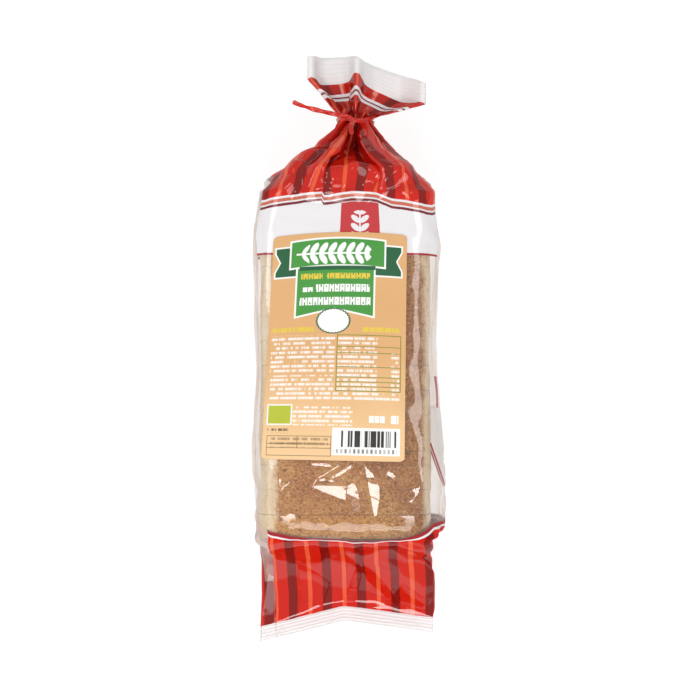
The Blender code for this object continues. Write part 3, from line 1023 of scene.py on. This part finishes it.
# Facets of creased film, each by its corners as x and y in mm, anticlockwise
GLINTS = (
    (((-19.3, -54.6), (-19.0, -56.2), (-7.4, -57.0), (-9.0, -55.4)), TO_LAMP),
    (((-4.0, -55.5), (-16.4, -62.9), (-16.2, -64.0), (-4.2, -56.7)), TO_LAMP),
    (((-15.6, -63.0), (-17.2, -63.6), (-19.4, -68.2), (-18.0, -67.6)), TO_LAMP),
    (((3.3, -55.2), (-6.8, -61.2), (-6.2, -63.3), (2.4, -58.2)), TO_LAMP),
    (((-6.2, -61.5), (-15.2, -63.6), (-14.8, -65.3), (-6.2, -63.2)), TO_LAMP),
    (((-19.3, -68.0), (-10.2, -72.0), (-0.6, -75.6), (0.6, -67.4), (-16.5, -66.8)), TO_LAMP),
    (((0.2, -71.9), (7.4, -75.2), (5.9, -68.0), (3.8, -64.9), (0.2, -67.6)), TO_LAMP),
    (((2.0, -73.0), (4.0, -82.0), (8.5, -82.0), (7.4, -75.2)), TO_PANEL),
    (((9.8, -55.6), (13.0, -73.0), (18.4, -75.5), (18.6, -68.0), (14.6, -60.2)), TO_LAMP),
    (((13.1, -73.0), (15.2, -84.5), (17.0, -84.5), (18.4, -75.5)), TO_LAMP_EDGE),
    (((-37.4, -69.0), (-36.6, -70.4), (-31.0, -65.4), (-31.6, -64.6)), TO_LAMP),
    (((-37.4, -70.2), (-36.2, -69.6), (-34.6, -63.5), (-35.6, -63.7)), TO_LAMP),
    (((-40.2, -56.0), (-40.6, -91.0), (-36.6, -91.0), (-37.8, -56.0)), TO_PANEL),
    (((7.1, -112.3), (-1.5, -138.5), (4.5, -139.0), (8.5, -122.0)), TO_PANEL),
    (((8.5, -112.5), (11.5, -124.0), (29.0, -140.0), (31.0, -138.0), (16.0, -119.0)), TO_PANEL),
    (((-28.0, -112.0), (-26.5, -138.0), (-14.0, -140.0), (-9.4, -126.0)), TO_PANEL),
    (((32.0, -126.0), (24.0, -139.0), (46.0, -143.0), (47.0, -136.0)), TO_PANEL),
)


def with_glints(f, x, y, height):
    """The film's fine unevenness, with the facets, each tilted so that it mirrors one of the lamps."""
    spot = f.vector(x, y, 1.0)
    for corners, (slope_x, slope_y) in GLINTS:
        inside = None
        for (x0, y0), (x1, y1) in zip(corners, corners[1:] + corners[:1]):
            edge = math.hypot(x1 - x0, y1 - y0) * 0.5
            a, b = (y0 - y1) / edge, (x1 - x0) / edge
            off = f.plane(spot, a, b, 0.5 - a * x0 - b * y0)
            inside = off if inside is None else inside & off
        tilt = f.plane(spot, slope_x, slope_y, -slope_x * corners[0][0] - slope_y * corners[0][1])
        inside = f.math("MULTIPLY", inside, 1.0, clamp=True)
        height = f.math("MULTIPLY_ADD", inside, tilt, height)
    return height


def film_layers(f, colour, printed, lit_ink, dull, heights):
    """lit_ink is where light shines through the ink, and dull is where the gloss is weaker."""
    normal, glossy_normal = (f.bump(height, 0.001, 1.0) for height in heights)
    f.set(Base_Color=colour, Roughness=0.5, Normal=normal, Specular_IOR_Level=0.0)
    facing = Val(f, f.node("ShaderNodeLayerWeight", {}, {"Blend": 0.5}).outputs["Facing"])
    gloss_share = (facing**5) * 0.45 + 0.08
    thin = f.node("ShaderNodeBsdfTransparent", {}, {"Color": (0.95, 0.935, 0.93, 1)}).outputs[0]
    thick = f.node("ShaderNodeBsdfTransparent", {}, {"Color": (0.83, 0.76, 0.73, 1)}).outputs[0]
    clear = f.node("ShaderNodeMixShader", {}, {0: facing, 1: thin, 2: thick}).outputs[0]
    haze = f.node("ShaderNodeBsdfDiffuse", {}, {"Color": (0.92, 0.87, 0.84, 1), "Normal": normal}).outputs[0]
    gloss_inputs = {"Color": (1, 1, 1, 1), "Roughness": 0.07, "Normal": glossy_normal}
    gloss = f.node("ShaderNodeBsdfAnisotropic", {}, gloss_inputs).outputs[0]
    hazy = f.node("ShaderNodeMixShader", {}, {0: 0.03 + facing * 0.3, 1: clear, 2: haze}).outputs[0]
    glow = f.node("ShaderNodeBsdfTranslucent", {}, {"Color": (0.95, 0.94, 0.94, 1)}).outputs[0]
    glowing = {0: lit_ink * 0.4, 1: f.shader.outputs[0], 2: glow}
    print_layer = f.node("ShaderNodeMixShader", {}, glowing).outputs[0]
    film = f.node("ShaderNodeMixShader", {}, {0: printed, 1: hazy, 2: print_layer}).outputs[0]
    coated = {0: gloss_share * (1 - dull * 0.7) * (1 - printed * 0.4), 1: film, 2: gloss}
    f.plug(f.output.inputs["Surface"], f.node("ShaderNodeMixShader", {}, coated).outputs[0])


# %% [markdown]
# ## Finishes: the printed film
#
# The print is worked out from the sheet's own u and v, so it follows every fold. Shade is painted into it
# as a darker red over the gathered head and in the hollows between its lobes. Where there is no
# print the film is clear and lets the loaf show.

# %% Print the film
RED, DARK_RED, ORANGE = ink("D6200F"), ink("8A150E"), ink("F25E38")
WHITE, SALMON, MAROON, LINE_RED = ink("EFECEE"), ink("CF6E58"), ink("7F2A30"), ink("A82E35")
# The third colour on the next line is not an ink of the bag but painted shade for the gathered head
PATCH_RED, SHADE_RED, WELD_PINK = ink("C93F42"), ink("7A1F18"), ink("EAD3D0")
WELD_WHITE, PALE_FILM = ink("FDFCFC"), ink("E6CBC2")
STRIPE = ROUND / MM / 19
LOAF_END = FOOT_WEDGE / MM
# Places of the print in mm: along the film from the loaf's middle, and the red patch's span and depth
BAND_START, BAND_END = 62.5, 91.0
SIDE_START, SIDE_END, BLOCK_END = -75.0, -23.5, -5.8
PATCH_SPAN, PATCH_DEPTH = (-1.9, 20.8), 32


def wheat(x, y, length, size):
    """A lying ear of wheat about the origin: two rows of slanted grains on a stalk."""
    step = size * 0.62
    along = x % step - step / 2
    aside = abs(y) - size * 0.34
    slant = along * 0.8 - aside * 0.6
    cross = along * 0.6 + aside * 0.8
    slant, cross = slant / (size * 0.2), cross / (size * 0.42)
    grain = slant * slant + cross * cross
    reach_x, reach_y = x / (length * 0.54), y / (size * 0.98)
    envelope = reach_x * reach_x + reach_y * reach_y
    grains = grain.below(1, 0.3) * envelope.below(1, 0.04)
    stalk = abs(y).below(size * 0.06, 0.1) * x.within(-length * 0.62, length / 2, 0.2)
    return grains | stalk


def film_finish():
    f = Finish("printed_film")
    u, v = f.uv(ROUND / MM, (V_END + FOOT_WELD) / MM)
    u, v = u - ROUND / MM / 2, v - FOOT_WELD / MM
    where, (x, y, _) = f.place()
    x, y = x / MM, y / MM
    soft = 0.25
    head, loaf_end = V_HEAD_WELD / MM, LOAF_END
    body = loaf_end + LOAF_SIZE[1] / MM / 2
    left, right = LEFT_FOLD / MM, RIGHT_FOLD / MM
    back_edge = right + SIDE / MM
    drift = f.noise(f.vector(u * 0.02, v * 0.02), 1.0, 1.0) - 0.5

    def paint(mask, shade):
        nonlocal colour
        colour = f.mix(mask, colour, shade)

    # The stripes
    beat = (u + 1.1) % STRIPE
    beat = STRIPE / 2 - abs(beat - STRIPE / 2)
    colour = f.mix(beat.above(STRIPE / 2 - 2.6, soft), RED, DARK_RED)
    paint(beat.below(1.15, soft), ORANGE)
    # Painted shade: the red darkens a little from the shoulders on and more over the gathered head
    paint(v.above(V_SHOULDER / MM, 4) * 0.1 + v.above(V_NECK / MM + 4, 6) * 0.15, SHADE_RED)
    # Painted shade in the hollows between the lobes of the gather
    shaded_pockets = u.within(-32, -17, 3) | u.within(12, 31, 3)
    paint(shaded_pockets * v.within(V_NECK / MM + 8, head, 6) * 0.2, SHADE_RED)
    # The lines near the upper weld
    paint(v.within(head - 13.6, head - 8.0, soft), MAROON)
    paint(v.within(head - 10.2, head - 8.0, soft) | v.within(head - 13.6, head - 11.4, soft), WHITE)
    # The white band and the lines above it, which bow up towards the neck
    upper = v.above(body + 40, soft)
    dips = u.above(-13.5, 1.5) * u.below(-3, 14) * 2.2 + u.within(24, 60, 9) * 2.2
    spread = abs(u) & 50
    bowed = v + drift * 3 + dips + 0.0018 * (spread * spread)
    band_end = body + BAND_END
    for low, high, shade in ((-99, 5.6, WHITE), (2.4, 4.3, SALMON), (0.0, 1.5, MAROON)):
        paint(upper * bowed.within(band_end + low, band_end + high, soft), shade)
    patch = u.within(*PATCH_SPAN, soft) * bowed.within(band_end - PATCH_DEPTH, band_end - 0.3, soft)
    paint(patch, PATCH_RED)
    paint(wheat(v - (band_end - 12), u - 9.5, 13, 7.5), WHITE)
    level = v + drift * 3
    band_start = body + BAND_START
    paint(upper * level.within(band_start - 1.3, band_start, soft), LINE_RED)
    # The line at the foot sags towards the right of the middle
    aside = u - 15
    sag = 0.0026 * ((0 - aside) | 0) * ((0 - aside) | 0) + 0.0088 * (aside | 0) * (aside | 0)
    foot_line = v + drift * 2 - (sag & 12) + 7.4
    paint(foot_line.within(loaf_end + 0.4, loaf_end + 1.9, soft), WHITE)
    paint(foot_line.above(loaf_end + 1.9, soft) * foot_line.below(loaf_end + 6, soft), LINE_RED)
    # The right side's panel, cut off aslant, and the back's
    slant = x - 46.9 - 0.356 * ((-43 - y) | 0)
    side_span = u.below(back_edge - 4, soft)
    on_side = u.above(right - 4, 1) * side_span
    side_field = slant.above(0, soft) * on_side * v.within(body + SIDE_START, body + SIDE_END, soft)
    side_edge = slant.within(-1.0, 0, soft) * on_side * v.within(body + SIDE_START, body - 43, soft)
    side_block = u.within(right + 5, right + 13, soft) * v.within(body + SIDE_END, body + BLOCK_END, soft)
    far = abs(u - 5)
    panel = far.above(back_edge - 3, soft) * v.within(loaf_end + 22, band_start - 8, soft)
    panel_edge = far.above(back_edge - 4.2, soft) * v.within(loaf_end + 20.8, band_start - 6.8, soft)
    paint(side_field | panel, WHITE)
    paint(side_edge | panel_edge * (1 - panel) | side_block, LINE_RED)
    weld = v.below(0, soft) | v.above(head, soft)
    ribs = abs((v / (RIB / MM)) % 1.0 - 0.5) * 2
    paint(weld, WELD_WHITE)
    paint(weld * ribs.below(0.3, 0.4) * (v.below(50, 1) * 0.5 + 0.15), WELD_PINK)
    left_tuck = u.within(left - SIDE / MM + 4, left - 1, 1)
    paint(left_tuck * v.within(33, LOAF_END + 10, 1), PALE_FILM)
    # Where there is ink: the rest is clear
    foot_print = foot_line.below(loaf_end + 4.2, 1.2) * (1 - left_tuck * v.above(33, 1) * 0.75)
    bare_side = u.within(left - SIDE / MM + 6, left - 11, 1) | u.within(right + 8, right + SIDE / MM - 6, 1)
    bare_side = bare_side * v.below(V_SHOULDER / MM + 15, 1)
    ink_here = foot_print | upper * level.above(band_start - 1.3, soft) * (1 - bare_side)
    ink_here = ink_here | side_field | side_block | side_edge | panel_edge
    printed = ink_here * (1 - weld * 0.2)
    height = (f.noise(where, 240.0, 2.0) * 0.06 + f.noise(where, 60.0, 2.0)) * 0.04
    slack = v.within(loaf_end - 5, loaf_end + 13, 4)
    film_layers(f, colour, printed, side_field, weld | slack, (height, with_glints(f, x, y, height)))
    return f.material


# %% [markdown]
# ## Finishes: the loaf's crust
#
# Wholemeal crust is tan on top and paler at the sides, where the tin kept it from the heat. Bran shows
# as dark flecks and flour as light ones, and the slices part in fine dark lines.


# %% Bake the crust
def crust_finish():
    f = Finish("wholemeal_crust")
    where, (x, y, z) = f.place()
    blotch = f.noise(where, 40.0, 4.0, 0.65)
    flecks = f.noise(where, 800.0, 3.0, 0.7)
    grains = f.noise(where, 1500.0, 2.0, 0.6)
    specks = f.noise(where, 420.0, 2.0, 0.6)
    side_start = abs(x - 0.0015) + (blotch * 0.010 - 0.005)
    pale = side_start.above(0.0410, 0.003)
    colour = f.mix(blotch.above(0.5, 0.25), ink("B87236"), ink("DCA45F"))
    colour = f.mix(x.above(0.018, 0.03) * 0.4, colour, ink("93602F"))
    colour = f.mix(pale, colour, f.mix(blotch.above(0.5, 0.3), ink("FFF0CE"), ink("F5DBAE")))
    strength = 1 - pale * 0.75
    colour = f.mix(flecks.above(0.56, 0.08) * strength * 0.6, colour, ink("7C4820"))
    colour = f.mix(flecks.below(0.42, 0.08) * strength * 0.5, colour, ink("E2B678"))
    colour = f.mix(grains.above(0.62, 0.06) * strength * 0.5, colour, ink("63381A"))
    colour = f.mix(specks.above(0.64, 0.05) * strength * 0.7, colour, ink("553016"))
    colour = f.mix(specks.below(0.33, 0.05) * strength * 0.6, colour, ink("EBC894"))
    parting = (y + LOAF_SIZE[1] / 2) % SLICE
    parting = (parting | 0).below(0.0003, 0.0003)
    heel = y.below(SLICE * 1.5 - LOAF_SIZE[1] / 2, 0.001)
    colour = f.mix(parting * (0.12 + heel * 0.5), colour, ink("6E4525"))
    normal = f.bump(flecks * 0.6 + grains * 0.4 - parting * 0.5, 0.0008, 0.9)
    f.set(Base_Color=colour, Roughness=0.85, Normal=normal)
    return f.material


# %% [markdown]
# ## Finishes: the sticker's print
#
# The label is printed on tan paper in flat inks: a green ribbon over a green panel, a table, an oval, a
# lime block and a bar code. A print like this is a sum of simple shapes, so each is a field between two
# edges, painted over the ones before. Rows of short broken bars give the small print its tone.

# %% Print the label
TAN, GREEN, DEEP_GREEN = ink("DFAB72"), ink("43963A"), ink("125C33")
LIME, YELLOW, OLIVE, BROWN = ink("B6BF28"), ink("E6C93F"), ink("8B8B2A"), ink("6E4F2F")
PAPER_WHITE, BLACK = ink("FBFAF6"), ink("2B2826")


def label_finish():
    f = Finish("sticker_print")
    x, y = f.uv(LABEL_WIDTH / MM, LABEL_HEIGHT / MM)
    where, _ = f.place()
    soft = 0.14

    def field(x0, x1, y0, y1):
        return x.within(x0, x1, soft) * y.within(y0, y1, soft)

    def frame_of(x0, x1, y0, y1, line):
        inside = field(x0 + line, x1 - line, y0 + line, y1 - line)
        return field(x0, x1, y0, y1) * (1 - inside)

    def paint(mask, shade):
        nonlocal colour
        colour = f.mix(mask, colour, shade)

    tone = f.noise(where, 30.0, 1.0)
    colour = f.mix(y.below(34, 50) * 0.8 + tone * 0.1, TAN, ink("F4CE9A"))
    bow = 1.1 - (x - 38) * (x - 38) * 0.0015
    # The ribbon's tails, notched at their ends, with white borders
    for border, shade in ((0.9, PAPER_WHITE), (0.0, DEEP_GREEN)):
        off = abs(x - 38.5)
        notch = off.below(36.3 + border, soft) | off.below(32.6 + border, soft)
        tip = off + (5.2 - abs(y - 110.6)) * 0.55
        tails = tip.below(36.2 + border, soft) * y.within(102.6 - border, 118.6 + border, soft)
        paint(tails * off.above(20, soft) * notch, shade)
    # The panel below the ribbon, with its foot cut to a shallow notch
    for border, shade in ((1.0, PAPER_WHITE), (0.0, GREEN)):
        foot = y - abs(x - 37) * -0.2
        panel = abs(x - 37.1).below(22.0 + border, soft) * y.below(109, soft)
        paint(panel * foot.above(84.4 - border, soft), shade)
    # The ribbon itself
    for border, shade in ((1.0, PAPER_WHITE), (0.0, GREEN)):
        middle = abs(x - 38).below(27.0 + border, soft)
        paint(middle * (y - bow).within(107.2 - border, 121.4 + border, soft), shade)
    paint(field(16, 60, 105.4, 107.6), DEEP_GREEN)
    paint(wheat(x - 37.5, y - 114.6, 38, 8.5), PAPER_WHITE)

    # Rows of short broken bars
    row_height = 2.54
    row = ((y - 0.2) / row_height).floor()
    in_row = (y - 0.2) % row_height
    word = f.noise(f.vector(x * 0.42, row * 7.31), 1.0, 0.0).above(0.40, 0.06)
    letter = f.noise(f.vector(x * 1.9, row * 3.77, 4.0), 1.0, 1.0).above(0.43, 0.12)
    type_mask = in_row.within(0.55, 1.95, 0.3) * word * (0.35 + 0.65 * letter)
    cell = (x / 3.05).floor()
    upright = f.chance(f.vector(cell, row)).above(0.5, 0.01)
    in_cell = x % 3.05
    for y0, y1, spans, shade in (
        (100.5, 103.6, ((17.2, 29.6), (32.0, 56.9)), YELLOW),
        (93.3, 97.5, ((26.0, 56.9),), PAPER_WHITE),
        (93.4, 96.0, ((18.3, 24.6),), PAPER_WHITE),
        (86.0, 90.3, ((16.9, 57.5),), PAPER_WHITE),
    ):
        middle = (y0 + y1) / 2
        notch = y.above(middle + 0.5, 0.1) * upright + y.below(middle - 0.5, 0.1) * (1 - upright)
        stroke = in_cell.within(0.2, 2.85, 0.15) * (1 - notch * in_cell.within(1.15, 1.9, 0.15))
        for x0, x1 in spans:
            paint(field(x0, x1, y0, y1) * stroke, shade)
    paint((field(2, 26, 71.3, 73.9) | field(53.5, 74, 71.3, 73.9)) * letter, YELLOW)
    text = field(2.2, 38.0, 49.0, 69.4) | field(2.6, 38.0, 38.2, 47.2) | field(2.8, 75, 33.0, 38)
    text = text | field(16, 49, 19.2, 29.7) | field(39.8, 62, 38.8, 69.0) | field(70, 74.5, 38.8, 60)
    paint(text * type_mask * 0.85, PAPER_WHITE)

    # The oval badge
    oval_x, oval_y = (x - 36.6) / 9.2, (y - 77.2) / 6.7
    scallops = f.math("SINE", f.math("ARCTAN2", oval_y, oval_x) * 30) * 0.05
    oval = oval_x * oval_x + oval_y * oval_y + scallops
    paint(oval.below(1.14, 0.06), DEEP_GREEN)
    paint(oval.below(0.93, 0.06), PAPER_WHITE)

    # The table and its rules
    paint(frame_of(39.0, 75.4, 38.3, 69.6, 0.5), OLIVE)
    for place in (63.0, 59.6, 51.8, 46.2, 43.6, 41.0):
        paint(field(39.0, 75.4, place - 0.22, place + 0.22), OLIVE)

    # The lime block, the small print and the bar code
    paint(field(1.8, 15.6, 19.4, 31.0), PAPER_WHITE)
    paint(field(2.5, 14.9, 20.1, 30.3), LIME)
    paint(field(2.6, 14.0, 14.8, 18.2) * type_mask, BROWN)
    rules = frame_of(2.4, 37.7, 2.2, 13.4, 0.3) | field(2.4, 37.7, 8.8, 9.1) | field(2.4, 37.7, 6.5, 6.8)
    paint(rules, BROWN)
    paint(field(18.9, 19.2, 6.5, 13.2) | field(4, 36, 7, 13) * type_mask * 0.6, BROWN)
    blocks = field(57.9, 66.9, 21.2, 25.0) | field(70.1, 74.4, 20.8, 25.4)
    paint(blocks * in_cell.within(0.2, 2.85, 0.15), PAPER_WHITE)
    paint(field(38.2, 75.4, 3.0, 18.2), PAPER_WHITE)
    bar = f.chance(f.vector((x / 0.52).floor(), 1.7)).above(0.5, 0.02)
    paint(field(42.4, 73.6, 7.6, 16.6) * bar, BLACK)
    digit = f.chance(f.vector((x / 2.35).floor(), 5.1)) * 0.4
    paint(field(39.2, 73.6, 4.1, 6.4) * ((x / 2.35) % 1.0).within(0.25, 0.75, 0.1) * (0.45 + digit), BLACK)
    grain = f.noise(where, 700.0, 2.0)
    f.set(Base_Color=colour, Roughness=0.42, Normal=f.bump(grain, 0.0002, 0.25))
    return f.material


# %% [markdown]
# ## Finishes: the tie
#
# The strip is glossy plastic in one red. Its twisting leaves fine crinkles, which are too small to model
# and are pressed into the shading, and its red is laid in lighter and darker patches.


# %% Colour the tie
def tie_finish():
    f = Finish("tie_plastic")
    where, _ = f.place()
    # Patches of lighter and darker red
    red_patches = f.noise(where, 260.0, 2.0)
    colour = f.mix(red_patches.above(0.5, 0.4), ink("B81A14"), ink("DE3527"))
    normal = f.bump(f.noise(where, 520.0, 3.0), 0.0006, 0.7)
    f.set(Base_Color=colour, Roughness=0.18, Normal=normal)
    return f.material


# %% [markdown]
# ## Dress the frame
#
# Each piece gets its finish, rides on the one body and takes the place of its plain solid.

# %% Finish, ride and replace
for piece, finish, node, slot in (
    (film, film_finish(), "bag", "bag_film"),
    (loaf, crust_finish(), "bag", "bag_film"),
    (label, label_finish(), "label", "label_paper"),
    (tie, tie_finish(), "tie", "tie_plastic"),
):
    piece.data.materials.clear()
    piece.data.materials.append(finish)
    for polygon in piece.data.polygons:
        polygon.use_smooth = True
    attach(piece, "root")
    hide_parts(node)
    print(piece.name, "has the finish", finish.name)

# %% [markdown]
# ## Floor and light
#
# The picture is made in a bright white tent: light comes from everywhere, and the floor glows. Soft lamps
# at both sides and beyond the head draw the folds. The lamp beyond the foot and the wide panel on the
# left are the ones that the film's creased facets mirror.

# %% Make the floor and the lamps
FLOOR_GLOW, TENT_LIGHT = 0.86, 0.42
bpy.ops.mesh.primitive_plane_add(size=6, location=(0, 0, -0.0006))
floor = bpy.context.object
floor.name = "floor"
tent = Finish("white_floor")
tent.set(Base_Color=(0.2, 0.2, 0.2, 1), Roughness=0.9)
tent.set(Emission_Color=(1, 1, 1, 1), Emission_Strength=FLOOR_GLOW)
floor.data.materials.append(tent.material)

# Each lamp's place, size and power
LAMPS = (
    ((-0.55, 0.20, 1.00), 0.40, 1.4),
    ((0.60, 0.10, 1.00), 0.45, 1.9),
    ((0.10, 0.62, 1.05), 0.20, 0.7),
    ((0.00, -0.52, 1.10), 0.42, 4.8),
    ((-0.90, -0.30, 1.00), 0.90, 2.4),
)
for place, size, power in LAMPS:
    lamp_data = bpy.data.lights.new("softbox", "AREA")
    lamp_data.size = size
    lamp_data.energy = power
    lamp = bpy.data.objects.new("softbox", lamp_data)
    lamp.location = place
    aim = Vector((0, 0, MIDDLE_HEIGHT)) - Vector(place)
    lamp.rotation_euler = aim.to_track_quat("-Z", "Y").to_euler()
    bpy.context.scene.collection.objects.link(lamp)
world = bpy.data.worlds.new("tent")
world.use_nodes = True
world.node_tree.nodes["Background"].inputs["Color"].default_value = (1, 1, 1, 1)
world.node_tree.nodes["Background"].inputs["Strength"].default_value = TENT_LIGHT
bpy.context.scene.world = world
bpy.context.scene.view_settings.view_transform = "Standard"
print("lamps:", len(LAMPS))
